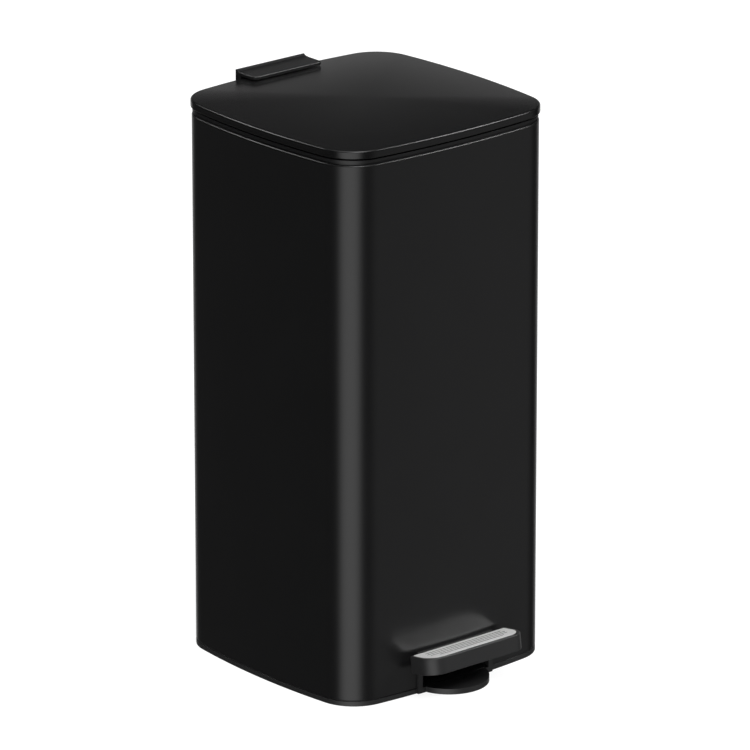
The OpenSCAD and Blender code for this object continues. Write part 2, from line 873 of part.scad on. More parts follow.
module rod_carrier() {
    color(plastic_grey) difference() {
        block([damper_x - 5, rod_y - 4, carrier_z], [5, rod_y + 4, carrier_z + carrier_t]);
        z_rod(0, rod_y, carrier_z - 1, carrier_z + carrier_t + 1, rod_r + fit_gap);
        z_rod(damper_x, rod_y, carrier_z - 1, carrier_z + carrier_t - 2, plunger_r + fit_gap);
    }
}

module damper_plunger() {
    piston_z = damper_z0 + 12;
    color(steel_bright) {
        z_rod(damper_x, rod_y, piston_z, carrier_z + carrier_t - 2.1, plunger_r);
        z_rod(damper_x, rod_y, piston_z, piston_z + 8, piston_r);
    }
}

module bucket_solid(inset, z0, z1) {
    hull() {
        mouth_block(bucket_in + bucket_draft + inset, z0, z0 + eps);
        mouth_block(bucket_in + inset, z1 - eps, z1);
    }
}

module inner_bucket() {
    rim_top = bucket_rim_z + bucket_rim_t;
    color(bucket_grey) difference() {
        union() {
            bucket_solid(0, bucket_z, rim_top);
            mouth_ring(rim_gap, bucket_in + 1, bucket_rim_z, rim_top);
        }
        bucket_solid(bucket_wall, bucket_z + 2.5, rim_top + 1);
        both_sides()
            x_rod(bail_x, mouth_a - bucket_in + 3, mouth_y, bail_z, bail_pin_r + 0.15);
    }
}

module bail_frame() {
    translate([0, mouth_y, bail_z])
        rotate([-bail_tilt, 0, 0]) children();
}

// U-shaped line of the bail, from one pivot round the front to the other
function bail_line(out) =
    let (x = bail_x + out, y = bail_bar + out, r = bail_bend + out)
    concat(
        [[x, bail_end]],
        arc([x - r, r - y], r, 0, -90, 8),
        arc([r - x, r - y], r, -90, -180, 8),
        [[-x, bail_end]]
    );

module bail_handle() {
    outer = bail_line(bail_w / 2);
    inner = bail_line(-bail_w / 2);
    color(plastic_grey) bail_frame() {
        translate([0, 0, -bail_d / 2])
            linear_extrude(bail_d)
                polygon(concat(outer, [for (i = [len(inner) - 1:-1:0]) inner[i]]));
        both_sides()
            x_rod(bail_x, bail_hook, 0, 0, bail_pin_r);
    }
}

module bail_grip() {
    half_bore_y = bail_w / 2 + fit_gap;
    half_bore_z = bail_d / 2 + fit_gap;
    color(rubber) bail_frame() difference() {
        x_rod(-grip_l / 2, grip_l / 2, -bail_bar, 0, grip_r);
        block([-grip_l / 2 - 1, -bail_bar - half_bore_y, -half_bore_z],
            [grip_l / 2 + 1, -bail_bar + half_bore_y, half_bore_z]);
    }
}

outer_shell();
rim_collar();
base_tray();
pedal_bezel();
anti_slip_pads();
base_screws();
pivot_bracket();
bracket_screws();
pivot_pin();
rod_guides();
rod_cover();
damper_cylinder();
damper_cap();
damper_bracket();
hinge_pin();
hinge_clips();
lid_skin();
lid_liner();
lid_bumpers();
hinge_arm();
hinge_cover();
hinge_screws();
pedal_lever();
lever_bushes();
pedal_cover();
pedal_insert();
pedal_screws();
push_rod();
rod_clips();
rod_carrier();
damper_plunger();
inner_bucket();
bail_handle();
bail_grip();
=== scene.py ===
import math

import bmesh
import bpy
from mathutils import Matrix, Vector


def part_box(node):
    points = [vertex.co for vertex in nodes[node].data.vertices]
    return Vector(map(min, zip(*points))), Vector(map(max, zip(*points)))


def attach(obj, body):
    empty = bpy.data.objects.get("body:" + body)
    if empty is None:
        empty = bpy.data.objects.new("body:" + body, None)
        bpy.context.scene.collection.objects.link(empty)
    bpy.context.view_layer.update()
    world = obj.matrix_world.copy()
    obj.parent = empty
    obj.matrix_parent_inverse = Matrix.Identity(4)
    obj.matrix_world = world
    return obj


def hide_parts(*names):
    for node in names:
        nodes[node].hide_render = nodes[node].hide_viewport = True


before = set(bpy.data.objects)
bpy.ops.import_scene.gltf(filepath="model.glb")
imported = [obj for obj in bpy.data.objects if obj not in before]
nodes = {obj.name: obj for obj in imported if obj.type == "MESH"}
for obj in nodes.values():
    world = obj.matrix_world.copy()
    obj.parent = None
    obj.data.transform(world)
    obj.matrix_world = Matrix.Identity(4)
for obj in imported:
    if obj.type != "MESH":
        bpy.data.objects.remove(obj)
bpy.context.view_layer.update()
MM = 0.001

# ---------------------------------------------------------------- sizes, from the CAD frame, in mm


def box_mm(node):
    low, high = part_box(node)
    return low / MM, high / MM


shell_lo, shell_hi = box_mm("outer_shell")
lid_lo, _ = box_mm("lid_skin")
liner_lo, liner_hi = box_mm("lid_liner")
cover_lo, cover_hi = box_mm("hinge_cover")
bucket_lo, bucket_hi = box_mm("inner_bucket")

HALF_W, HALF_D = shell_hi.x, shell_hi.y
SHELL_Z, HEM_Z = shell_lo.z, shell_hi.z
SHEET = 0.6
# Outlines: half width, half depth, bulge of the front, bulge of the sides, corner radius, middle
BODY = dict(a=HALF_W, b=HALF_D, s1=11.3, s2=13.0, r=45.0, y=0.0)
MOUTH = dict(a=141.5, b=130.65, s1=10.056, s2=10.131, r=36.5, y=-8.85)
OPENING_X, OPENING_Z = 49.0, 45.3
SIDE_STEPS, CORNER_STEPS, MARK_STEPS = 14, 22, 5

# ---------------------------------------------------------------- outlines


def side_radius(half, bulge):
    """Radius of the arc that bulges by this much over a side of this half length."""
    return (half * half + bulge * bulge) / (2 * bulge)


def arc_points(cx, cy, r, a0, a1, n):
    """n + 1 points of an arc, angles in radians."""
    return [(cx + r * math.cos(a0 + (a1 - a0) * i / n), cy + r * math.sin(a0 + (a1 - a0) * i / n))
            for i in range(n + 1)]


def plan(shape, inset, mark=None):
    """Closed outline of a rounded square with bulged sides; mark puts a point at that x in front."""
    a, b, s1, s2, r, y = (shape[k] for k in ("a", "b", "s1", "s2", "r", "y"))
    r1, r2 = side_radius(a, s1), side_radius(b, s2)
    c1, c2 = Vector((0, r1 - b)), Vector((a - r2, 0))
    d = (c2 - c1).length
    t = ((r1 - r) ** 2 - (r2 - r) ** 2 + d * d) / (2 * d)
    h = math.sqrt((r1 - r) ** 2 - t * t)
    u = (c2 - c1) / d
    side = Vector((-u.y, u.x)) * h
    c = c1 + t * u + side
    if not (c.x > 0 and c.y < 0):
        c = c1 + t * u - side
    t1 = math.atan2(c.y - c1.y, c.x - c1.x)
    t2 = math.atan2(c.y - c2.y, c.x - c2.x)
    front = []
    start = -math.pi / 2
    if mark:
        mid = start + math.asin(mark / r1)
        front = arc_points(c1.x, c1.y, r1 - inset, start, mid, MARK_STEPS)[:-1]
        start = mid
    front += arc_points(c1.x, c1.y, r1 - inset, start, t1, SIDE_STEPS)
    corner = arc_points(c.x, c.y, r - inset, t1, t2, CORNER_STEPS)
    right = arc_points(c2.x, c2.y, r2 - inset, t2, 0, SIDE_STEPS)
    q = front + corner[1:] + right[1:]
    n = len(q)
    loop = q + [(q[i][0], -q[i][1]) for i in range(n - 2, -1, -1)]
    loop += [(-q[i][0], -q[i][1]) for i in range(1, n)]
    loop += [(-q[i][0], q[i][1]) for i in range(n - 2, 0, -1)]
    return [(px, py + y) for px, py in loop]


def fillet(ci, cz, r, a0, a1, n=5):
    """Points (inset, z) of a rounded edge; inset grows inwards, so 180 degrees points outwards."""
    a0, a1 = math.radians(a0), math.radians(a1)
    return [(ci + r * math.cos(a0 + (a1 - a0) * i / n), cz + r * math.sin(a0 + (a1 - a0) * i / n))
            for i in range(n + 1)]


# ---------------------------------------------------------------- meshes


def skin(rings, closed=False, start=None, end=None):
    """Faces between rings of points; start and end are middle points that close the ends."""
    n = len(rings[0])
    verts = [p for ring in rings for p in ring]
    faces = []
    count = len(rings) if closed else len(rings) - 1
    for k in range(count):
        a, b = k * n, ((k + 1) % len(rings)) * n
        for i in range(n):
            j = (i + 1) % n
            faces.append((a + i, a + j, b + j, b + i))
    for middle, first in ((start, 0), (end, (len(rings) - 1) * n)):
        if middle is not None:
            verts.append(middle)
            m = len(verts) - 1
            for i in range(n):
                faces.append((first + i, first + (i + 1) % n, m))
    return verts, faces


def rings_of(profile, shape, mark=None):
    """One ring of points for each (inset, height) of the profile."""
    return [[(x, y, z) for x, y in plan(shape, inset, mark)] for inset, z in profile]


def build(name, verts, faces, matrix=None):
    """Mesh object from points in mm, welded, with its normals outwards."""
    mesh = bpy.data.meshes.new(name)
    mesh.from_pydata([Vector(v) * MM for v in verts], [], faces)
    bm = bmesh.new()
    bm.from_mesh(mesh)
    if matrix:
        bmesh.ops.transform(bm, matrix=matrix, verts=bm.verts)
    bmesh.ops.remove_doubles(bm, verts=bm.verts, dist=1e-6)
    bmesh.ops.recalc_face_normals(bm, faces=bm.faces)
    bm.to_mesh(mesh)
    bm.free()
    obj = bpy.data.objects.new(name, mesh)
    bpy.context.scene.collection.objects.link(obj)
    return obj


def apply_modifiers(obj):
    """Replace the object's mesh by the result of its modifiers."""
    depsgraph = bpy.context.evaluated_depsgraph_get()
    mesh = bpy.data.meshes.new_from_object(obj.evaluated_get(depsgraph))
    obj.modifiers.clear()
    obj.data = mesh


def soft_shade(obj, angle=38):
    """Smooth shading that keeps flat faces flat and sharp edges sharp."""
    for f in obj.data.polygons:
        f.use_smooth = True
    obj.data.set_sharp_from_angle(angle=math.radians(angle))
    mod = obj.modifiers.new("weighted", "WEIGHTED_NORMAL")
    mod.keep_sharp = True
    apply_modifiers(obj)


def cut(obj, *cutters):
    """Take the cutters away from the object and delete them."""
    for cutter in cutters:
        mod = obj.modifiers.new("cut", "BOOLEAN")
        mod.operation = "DIFFERENCE"
        mod.solver = "EXACT"
        mod.object = cutter
    apply_modifiers(obj)
    for cutter in cutters:
        bpy.data.objects.remove(cutter)


def box_cutter(p0, p1, matrix=None):
    """Box between two corners."""
    verts = [(x, y, z) for x in (p0[0], p1[0]) for y in (p0[1], p1[1]) for z in (p0[2], p1[2])]
    faces = [(0, 1, 3, 2), (4, 6, 7, 5), (0, 4, 5, 1), (2, 3, 7, 6), (0, 2, 6, 4), (1, 5, 7, 3)]
    return build("cutter", verts, faces, matrix)


def finish_piece(obj, body, slot, material, *replaced):
    """Give a piece its material and body, and hide the CAD nodes it stands for; slot is not used."""
    obj.data.materials.clear()
    obj.data.materials.append(material)
    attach(obj, body)
    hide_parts(*replaced)
    return obj


def softened(node, name, width, segments=3, angle=32):
    """Copy of a CAD node with its sharp edges rounded."""
    mesh = nodes[node].data.copy()
    mesh.name = name
    obj = bpy.data.objects.new(name, mesh)
    bpy.context.scene.collection.objects.link(obj)
    bm = bmesh.new()
    bm.from_mesh(mesh)
    bmesh.ops.remove_doubles(bm, verts=bm.verts, dist=2e-6)
    bmesh.ops.dissolve_limit(bm, angle_limit=math.radians(0.6), verts=bm.verts, edges=bm.edges,
                             delimit=set())
    bmesh.ops.recalc_face_normals(bm, faces=bm.faces)
    bm.to_mesh(mesh)
    bm.free()
    mesh.materials.clear()
    mod = obj.modifiers.new("bevel", "BEVEL")
    mod.width = width * MM
    mod.segments = segments
    mod.limit_method = "ANGLE"
    mod.angle_limit = math.radians(angle)
    mod.use_clamp_overlap = True
    mod.harden_normals = False
    apply_modifiers(obj)
    soft_shade(obj)
    return obj


# ---------------------------------------------------------------- materials


def node_material(name, colour, rough, spread=0.04, metallic=0.0, tone=0.12, scale=(1, 1, 1),
                  grain=900.0, bump=0.05, bump_mm=0.02, specular=0.5, patch=14.0, aniso=0.0):
    """Principled surface whose colour and roughness drift a little and whose relief is a fine grain."""
    mat = bpy.data.materials.new(name)
    mat.use_nodes = True
    nt = mat.node_tree
    nt.nodes.clear()
    out = nt.nodes.new("ShaderNodeOutputMaterial")
    shader = nt.nodes.new("ShaderNodeBsdfPrincipled")
    nt.links.new(shader.outputs["BSDF"], out.inputs["Surface"])
    coord = nt.nodes.new("ShaderNodeTexCoord")
    mapping = nt.nodes.new("ShaderNodeMapping")
    mapping.inputs["Scale"].default_value = scale
    nt.links.new(coord.outputs["Object"], mapping.inputs["Vector"])
    drift = nt.nodes.new("ShaderNodeTexNoise")
    drift.inputs["Scale"].default_value = patch
    drift.inputs["Detail"].default_value = 4.0
    nt.links.new(coord.outputs["Object"], drift.inputs["Vector"])
    ramp = nt.nodes.new("ShaderNodeValToRGB")
    ramp.color_ramp.elements[0].position = 0.3
    ramp.color_ramp.elements[1].position = 0.7
    dark = [c * (1 - tone) for c in colour]
    light = [min(1.0, c * (1 + tone)) for c in colour]
    ramp.color_ramp.elements[0].color = (*dark, 1)
    ramp.color_ramp.elements[1].color = (*light, 1)
    nt.links.new(drift.outputs["Fac"], ramp.inputs["Fac"])
    nt.links.new(ramp.outputs["Color"], shader.inputs["Base Color"])
    fine = nt.nodes.new("ShaderNodeTexNoise")
    fine.inputs["Scale"].default_value = grain
    fine.inputs["Detail"].default_value = 3.0
    nt.links.new(mapping.outputs["Vector"], fine.inputs["Vector"])
    span = nt.nodes.new("ShaderNodeMapRange")
    span.inputs["From Min"].default_value = 0.3
    span.inputs["From Max"].default_value = 0.7
    span.inputs["To Min"].default_value = rough - spread
    span.inputs["To Max"].default_value = rough + spread
    nt.links.new(fine.outputs["Fac"], span.inputs["Value"])
    nt.links.new(span.outputs["Result"], shader.inputs["Roughness"])
    relief = nt.nodes.new("ShaderNodeBump")
    relief.inputs["Strength"].default_value = bump
    relief.inputs["Distance"].default_value = bump_mm * MM
    nt.links.new(fine.outputs["Fac"], relief.inputs["Height"])
    nt.links.new(relief.outputs["Normal"], shader.inputs["Normal"])
    shader.inputs["Metallic"].default_value = metallic
    shader.inputs["Specular IOR Level"].default_value = specular
    shader.inputs["Anisotropic"].default_value = aniso
    return mat


PAINT = node_material("satin_black_paint", (0.0075, 0.0075, 0.0078), 0.30, spread=0.02, tone=0.06,
                      grain=1600, bump=0.25, bump_mm=0.03, specular=0.5)
# Same black paint as the body, smoother, and a shade darker in colour: painted shade on the lid top
LID_PAINT_SHADED = node_material("smooth_black_paint_shaded", (0.006, 0.006, 0.0062), 0.235, spread=0.02, tone=0.06,
                          grain=1600, bump=0.2, bump_mm=0.02, specular=0.5)
BLACK = node_material("black_plastic", (0.008, 0.008, 0.0084), 0.42, spread=0.05, tone=0.08,
                      grain=2600, bump=0.35, bump_mm=0.03, specular=0.5)
# Lighter copy of the black plastic for the parts near the floor (pedal, bezel, base ring): painted
# reflection of the white floor
FLOOR_LIT_BLACK = node_material("black_plastic_painted_floor_light", (0.019, 0.019, 0.0194), 0.44, spread=0.05, tone=0.08,
                      grain=2600, bump=0.35, bump_mm=0.03, specular=0.6)
GREY = node_material("grey_plastic", (0.045, 0.046, 0.05), 0.48, spread=0.05, tone=0.08,
                     grain=2200, bump=0.3, bump_mm=0.04)
BUCKET = node_material("bucket_plastic", (0.10, 0.104, 0.112), 0.40, spread=0.05, tone=0.07,
                       grain=1500, bump=0.3, bump_mm=0.05, patch=9)
STEEL = node_material("bright_steel", (0.55, 0.56, 0.57), 0.24, spread=0.06, metallic=1.0, tone=0.06,
                      scale=(12, 12, 0.8), grain=300, bump=0.2, bump_mm=0.01)
INSERT = node_material("brushed_insert", (0.84, 0.84, 0.835), 0.40, spread=0.05, metallic=0.25, tone=0.02,
                       scale=(0.05, 3, 3), grain=1400, bump=0.25, bump_mm=0.015, patch=60, aniso=0.4)
# Flat dark grey for the floors of the insert's grooves: painted shade in the pressed grooves
GROOVE_SHADE = node_material("painted_groove_shade", (0.10, 0.10, 0.10), 0.75, spread=0.05, metallic=0.0, tone=0.05,
                       scale=(0.05, 3, 3), grain=1400, bump=0.3, bump_mm=0.015)
ZINC = node_material("zinc_steel", (0.40, 0.41, 0.43), 0.38, spread=0.09, metallic=1.0, tone=0.18,
                     grain=260, bump=0.25, bump_mm=0.03, patch=160)
RUBBER = node_material("soft_rubber", (0.018, 0.018, 0.018), 0.72, spread=0.08, tone=0.12,
                       grain=1800, bump=0.5, bump_mm=0.05, specular=0.3)

# ---------------------------------------------------------------- steel body

roll = 1.9
foot_bend = 1.2
flange_w = 8.5
hem_w = 4
levels = [52, 90, 140, 200, 260, 320, 380, 440, 500, 550, 585]
# From the flange's inner edge under the body, up the outside, over the hem and down the inside
profile = [(flange_w, SHELL_Z + SHEET), (flange_w, SHELL_Z)]
profile += fillet(foot_bend, SHELL_Z + foot_bend, foot_bend, 270, 180)
out_row = len(profile)
profile += [(0, z) for z in [OPENING_Z] + levels]
profile += fillet(roll, HEM_Z - roll, roll, 180, 90, 8)
profile += [(hem_w, HEM_Z), (hem_w, HEM_Z - SHEET)]
profile += fillet(roll, HEM_Z - roll, roll - SHEET, 90, 180, 6)
profile += [(SHEET, z) for z in reversed(levels)]
in_row = len(profile)
profile += [(SHEET, OPENING_Z)]
profile += fillet(foot_bend, SHELL_Z + foot_bend, foot_bend - SHEET, 180, 270)
rings = rings_of(profile, BODY, mark=OPENING_X)
columns = len(rings[0])
verts, faces = skin(rings, closed=True)


def in_opening(face):
    """True for a face that lies in the pedal's cut-out."""
    return all(abs(verts[i][0]) < OPENING_X + 0.05 and verts[i][1] < 0
               and verts[i][2] < OPENING_Z + 0.01 for i in face)


faces = [f for f in faces if not in_opening(f)]
# Close the sheet's cut edges at both sides and along the top of the opening
low_rows = list(range(in_row, len(profile))) + list(range(out_row + 1))
for c in (MARK_STEPS, columns - MARK_STEPS):
    faces.append(tuple(k * columns + c for k in low_rows))
outside, inside = out_row * columns, in_row * columns
for c in range(-MARK_STEPS, MARK_STEPS):
    i, j = c % columns, (c + 1) % columns
    faces.append((outside + i, outside + j, inside + j, inside + i))
shell = build("body_shell", verts, faces)
soft_shade(shell)
finish_piece(shell, "can", "body_paint", PAINT, "outer_shell")

# ---------------------------------------------------------------- lid

LID_Z0, LID_Z1, OVER, CROWN = lid_lo.z, 616.0, 1.3, 4.0


def crown_rings(base, z, steps=14):
    """Copies of the lid's last ring, shrunk towards the middle and raised to the crown."""
    result = []
    for i in range(1, steps):
        k = 1 - i / steps
        result.append([(x * k, y * k, z + CROWN * (1 - k * k)) for x, y, _ in base])
    return result


edge_r = 1.9
lip_bend = 1.2
lip_in = 0.7
crown_in = 1.5
crown_z = LID_Z1 + 0.05
outer = [(lip_in, LID_Z0 + SHEET), (lip_in, LID_Z0)]
outer += fillet(-OVER + lip_bend, LID_Z0 + lip_bend, lip_bend, 270, 180, 5)
outer += [(-OVER, LID_Z0 + 3.5), (-OVER, LID_Z1 - edge_r - 1)]
outer += fillet(-OVER + edge_r, LID_Z1 - edge_r, edge_r, 180, 93, 8)
outer += [(crown_in, crown_z)]
inner = [(-OVER + SHEET, LID_Z0 + lip_bend), (-OVER + SHEET, LID_Z1 - edge_r)]
inner += fillet(-OVER + edge_r, LID_Z1 - edge_r, edge_r - SHEET, 180, 93, 4)
inner += [(crown_in, LID_Z1 - SHEET)]
top = rings_of(outer, BODY)
under = rings_of(inner, BODY)
top += crown_rings(top[-1], crown_z)
under += crown_rings(under[-1], LID_Z1 - SHEET)
rings = list(reversed(under)) + top
verts, faces = skin(rings, start=(0, 0, LID_Z1 - SHEET + CROWN), end=(0, 0, crown_z + CROWN))
lid = build("lid_top", verts, faces)
soft_shade(lid)
finish_piece(lid, "lid", "body_paint", LID_PAINT_SHADED, "lid_skin")

# Plastic pan inside the lid
L0, L1 = liner_lo.z, liner_hi.z
rim_half = 0.8
liner_in = 0.9
web_z = L1 - 2 * rim_half
bead_z = L1 - 1.2
profile = fillet(liner_in + rim_half, L0 + rim_half, rim_half, 180, 360, 6)
profile += [(2.5, L1 - 4.2)] + fillet(5.1, L1 - 4.2, 2.6, 180, 90, 6)
# Flat web with a shallow bead round it
profile += [(9, web_z), (16, web_z), (17, bead_z), (24, bead_z), (25, web_z), (30, web_z)]
inner = rings_of(profile, BODY)
outer = rings_of([(liner_in, L1 - 0.6), (1.5, L1), (30, L1)], BODY)
verts, faces = skin(list(reversed(inner)) + outer, start=(0, 0, web_z), end=(0, 0, L1))
liner = build("lid_pan", verts, faces)
soft_shade(liner, 30)
finish_piece(liner, "lid", "grey_plastic", GREY, "lid_liner")

# ---------------------------------------------------------------- hinge cover

CX, CY0, CY1 = cover_hi.x, 126.2, cover_hi.y
# Heights of the lip's underside, the foot at the back, the flat top and the ridge
CZ_LIP, CZ_LOW, CZ_TOP, CZ_RIDGE = 617.7, cover_lo.z, 622.0, cover_hi.z
CORNER = 5.0
# Behind this the cover reaches down past the lid
STEP_Y = HALF_D + 2.2
# Radius of the sweep up to the ridge, the share of it used, and the flat land behind it
SWEEP, SWEEP_END, RIDGE_LAND = 4.0, 0.8, 0.8
SIDE_Y = (144.0, 147.0, 149.4, STEP_Y - 0.01, STEP_Y + 0.01, 151.6, 152.4, 153.2, 154.0, 154.8,
          155.4, 156.0, 156.6, 157.2, 157.8)
# Edge radius in front and on the ridge, and where the one turns into the other
LIP_R, RIDGE_R = 2.0, 0.45
LIP_END, RIDGE_START = 148.0, 155.0


def cover_height(y):
    """Flat top that sweeps up into the ridge along the back."""
    start = CY1 - SWEEP - RIDGE_LAND
    if y <= start:
        return CZ_TOP
    reach = min((y - start) / SWEEP, SWEEP_END)
    rise = SWEEP - SWEEP * math.sqrt(1 - reach * reach)
    return min(CZ_TOP + rise, CZ_RIDGE)


def cover_chain(inset):
    """Right half of the cover's plan, from the front's middle to the back."""
    r = CORNER - inset
    x, y0, y1 = CX - inset, CY0 + inset, CY1 - inset
    chain = [(0.0, y0), ((x - r) / 2, y0)]
    chain += arc_points(x - r, y0 + r, r, -math.pi / 2, 0, 12)
    k = (y1 - y0 - r) / (CY1 - CY0 - CORNER)
    for y in SIDE_Y:
        chain.append((x, y1 - (CY1 - y) * k))
    chain.append((x, y1))
    return chain


def lip_radius(y):
    """Full round lip in front, crisp edges on the ridge."""
    t = min(max((y - LIP_END) / (RIDGE_START - LIP_END), 0.0), 1.0)
    return LIP_R + (RIDGE_R - LIP_R) * t * t * (3 - 2 * t)


def cover_ring(inward, down, base_chain):
    """Ring of the rounded top edge; inward and down are shares of the edge's radius."""
    ring = []
    for i, (bx, by) in enumerate(base_chain):
        r = lip_radius(by)
        x, y = cover_chain(inward * r)[i]
        ring.append((x, y, cover_height(by) - down * r))
    return ring


base_chain = cover_chain(0)
levels_top = []
for i in range(9):
    a = math.radians(90 * i / 8)
    levels_top.append(cover_ring(1 - math.cos(a), 1 - math.sin(a), base_chain))
foot_r = 0.7
levels_foot = []
for i in range(4):
    a = math.radians(90 * i / 3)
    chain = cover_chain(foot_r * (1 - math.cos(a)))
    ring = []
    for (x, y), (_, by) in zip(chain, base_chain):
        ring.append((x, y, (CZ_LOW if by > STEP_Y else CZ_LIP) + foot_r * (1 - math.sin(a))))
    levels_foot.append(ring)
stack = list(reversed(levels_foot)) + levels_top
n = len(base_chain)
verts, faces = [], []
for ring in stack:
    verts += ring + [(-x, y, z) for x, y, z in ring]
for k in range(len(stack) - 1):
    a, b = k * 2 * n, (k + 1) * 2 * n
    for side in (0, n):
        for i in range(n - 1):
            faces.append((a + side + i, a + side + i + 1, b + side + i + 1, b + side + i))
    faces.append((a + n - 1, a + 2 * n - 1, b + 2 * n - 1, b + n - 1))
for k in (0, (len(stack) - 1) * 2 * n):
    for i in range(n - 1):
        faces.append((k + i, k + i + 1, k + n + i + 1, k + n + i))
cover = build("hinge_hood", verts, faces)
cover_wall = 1.8
cut(cover, box_cutter((-CX + cover_wall, HALF_D + 1.9, CZ_LOW - 2),
                      (CX - cover_wall, CY1 - cover_wall, CZ_TOP - 2)))
soft_shade(cover, 42)
finish_piece(cover, "lid", "black_plastic", BLACK, "hinge_cover")

# ---------------------------------------------------------------- pedal

# The pedal's rest angle in degrees, then its width, depth and height
PEDAL_SWING = 8.8926
PEDAL_W, PEDAL_D, PEDAL_T = 137.0, 37.0, 18.5
PEDAL_Y, PEDAL_Z = -151.6, 47.7
PEDAL_FRONT_R, PEDAL_BACK_R = 21.0, 4.0
# Frame of the pedal: its back top edge at the origin, tipped by its whole swing
tip = Matrix.Rotation(math.radians(-PEDAL_SWING), 4, "X")
pedal_matrix = Matrix.Translation(Vector((0, PEDAL_Y, PEDAL_Z)) * MM) @ tip


def pedal_ring(side, back, front, z):
    """D-shaped ring, inset by these widths at its sides, back and front."""
    x, y0, y1 = PEDAL_W / 2 - side, -PEDAL_D + front, -back
    fr, br = PEDAL_FRONT_R - front, max(PEDAL_BACK_R - side / 2, 0.8)
    pts = arc_points(-x + fr, y0 + fr, fr, math.pi, 1.5 * math.pi, 16)
    pts += [(x0, y0) for x0 in (-x * 0.4, 0.0, x * 0.4)]
    pts += arc_points(x - fr, y0 + fr, fr, 1.5 * math.pi, 2 * math.pi, 16)
    pts += arc_points(x - br, y1 - br, br, 0, math.pi / 2, 6)
    pts += [(x0, y1) for x0 in (x * 0.4, 0.0, -x * 0.4)]
    pts += arc_points(-x + br, y1 - br, br, math.pi / 2, math.pi, 6)
    return [(px, py, z) for px, py in pts]


rim_r = 1.4
pedal_wall = 2.5
inside_r = 2.0
ceiling_z = -4.0
seat_z = -1.05
middle_y = -18
# Up inside the pedal's skirt, round its foot, up the outside and over the rim into the insert's seat
rings = [pedal_ring(pedal_wall + inside_r, pedal_wall + inside_r, pedal_wall + inside_r, ceiling_z)]
for degrees in (60, 30, 0):
    a = math.radians(degrees)
    i = pedal_wall + inside_r * (1 - math.cos(a))
    rings.append(pedal_ring(i, i, i, ceiling_z - inside_r + inside_r * math.sin(a)))
for i, z in ((pedal_wall, PEDAL_T - 0.6), (2.2, PEDAL_T - 0.15), (1.7, PEDAL_T), (0.9, PEDAL_T),
             (0.35, PEDAL_T - 0.2), (0.06, PEDAL_T - 0.6), (0, PEDAL_T - 1.1), (0, 9.0)):
    rings.append(pedal_ring(i, i, i, -z))
for i in range(8):
    a = math.radians(90 * i / 7)
    i = rim_r * (1 - math.cos(a))
    rings.append(pedal_ring(i, i * 0.7, i, rim_r * (math.sin(a) - 1)))
rings += [pedal_ring(3.5, 1.5, 3.5, 0), pedal_ring(3.85, 1.75, 3.85, -0.12),
          pedal_ring(4.0, 1.85, 4.0, -0.45), pedal_ring(4.0, 1.85, 4.0, seat_z),
          pedal_ring(6, 4, 6, seat_z)]
verts, faces = skin(rings, start=(0, middle_y, ceiling_z), end=(0, middle_y, seat_z))
pedal = build("pedal_body", verts, faces, pedal_matrix)
# Way in for the lever's plate
slot_half, slot_y, slot_z = 42.6, (-3.6, 1.5), (-10.8, -5.5)
cut(pedal, box_cutter((-slot_half, slot_y[0], slot_z[0]), (slot_half, slot_y[1], slot_z[1]),
                      pedal_matrix))
soft_shade(pedal)
finish_piece(pedal, "pedal", "black_plastic", FLOOR_LIT_BLACK, "pedal_cover")

# Steel insert in its seat, standing a little above the rim
INSERT_Z = 0.22
insert_foot = -1.0
insert_side, insert_back = 4.2, 2.0
rings = []
for d, z in ((0, insert_foot), (0, INSERT_Z - 0.35), (0.05, INSERT_Z - 0.18), (0.18, INSERT_Z - 0.05),
             (0.35, INSERT_Z)):
    rings.append(pedal_ring(insert_side + d, insert_back + d, insert_side + d, z))
verts, faces = skin(rings, start=(0, middle_y, insert_foot), end=(0, middle_y, INSERT_Z))
insert = build("pedal_plate", verts, faces, pedal_matrix)


def capsule(x_half, y, z, r):
    """Long round-ended cutter along X for a pressed groove."""
    around, end_steps = 20, 8
    ends = [math.radians(90 * k / end_steps) for k in range(1, end_steps + 1)]
    profile = [(-x_half - r * math.cos(a), r * math.sin(a)) for a in ends]
    profile += [(x_half + r * math.cos(a), r * math.sin(a)) for a in reversed(ends)]
    turns = [2 * math.pi * i / around for i in range(around)]
    loops = [[(x, y + rr * math.cos(t), z + rr * math.sin(t)) for t in turns] for x, rr in profile]
    v, f = skin(loops, start=(-x_half - r, y, z), end=(x_half + r, y, z))
    return build("cutter", v, f, pedal_matrix)


groove_r, groove_depth = 0.95, 0.75
# Half length and place of each groove
GROOVES = ((52, -9.5), (54, -14.5), (53, -19.5), (44, -24.5))
cut(insert, *[capsule(x, y, INSERT_Z + groove_r - groove_depth, groove_r) for x, y in GROOVES])
soft_shade(insert, 40)
finish_piece(insert, "pedal", "insert_steel", INSERT, "pedal_insert")
# Second material on the faces down in the grooves: painted shade, dark and matte instead of the insert's
# steel
insert.data.materials.append(GROOVE_SHADE)
to_plate = pedal_matrix.inverted()
for face in insert.data.polygons:
    place = to_plate @ face.center / MM
    groove_shaded = any(abs(place.x) < x + groove_r and abs(place.y - y) < groove_r for x, y in GROOVES)
    if groove_shaded and place.z < INSERT_Z - 0.01:
        face.material_index = 1

# ---------------------------------------------------------------- bucket and bail

B0, B1 = bucket_lo.z, bucket_hi.z
top_in, draft, wall = 5.0, 8.0, 2.0
floor_t, rim_t = 2.5, 2.2
middle_in = 28


def wall_inset(z):
    """Inset of the bucket's outer face, which tapers towards its foot."""
    return top_in + draft * (B1 - z) / (B1 - B0)


floor_r, foot_r, bead_r = 9.0, 8.0, 1.0
bead_in = 0.9 + bead_r
wall_levels = (120, 240, 360, 480, 560)
